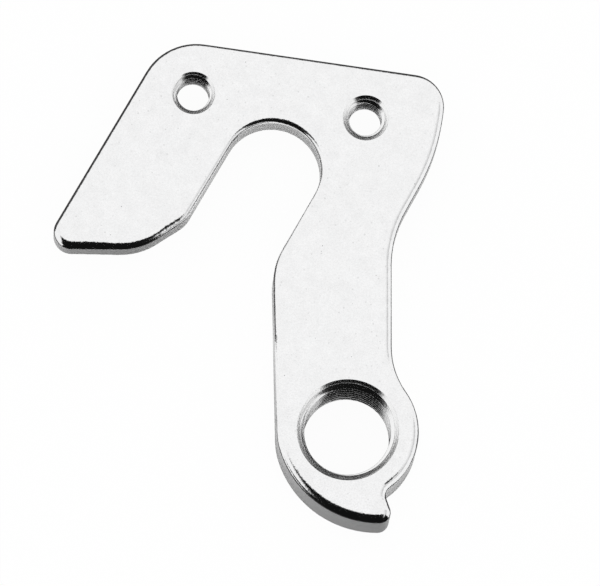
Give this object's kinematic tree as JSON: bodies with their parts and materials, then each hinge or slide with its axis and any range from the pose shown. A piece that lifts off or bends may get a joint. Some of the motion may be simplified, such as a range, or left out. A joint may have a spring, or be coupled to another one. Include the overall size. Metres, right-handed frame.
{
  "type": "bicycle derailleur hanger",
  "caption": "Flat hooked aluminium hanger that screws to a bicycle frame's rear dropout, holds the wheel axle in its open slot and carries the rear derailleur on a threaded hole.",
  "frame": {"origin": "on the derailleur bolt's axis, in the outer face that the derailleur seats on", "axes": "+X along the two frame screws to the rear of the bicycle, +Y up from the derailleur bolt to the frame screws, +Z along the bolt's axis to the inner face, which looks at the wheel"},
  "size_m": [0.0407, 0.0479, 0.0072],
  "materials": {
    "hanger": "fine satin, tumbled after machining"
  },
  "bodies": {
    "root": {"derailleur_hanger": "hanger"}
  },
  "joints": []
}
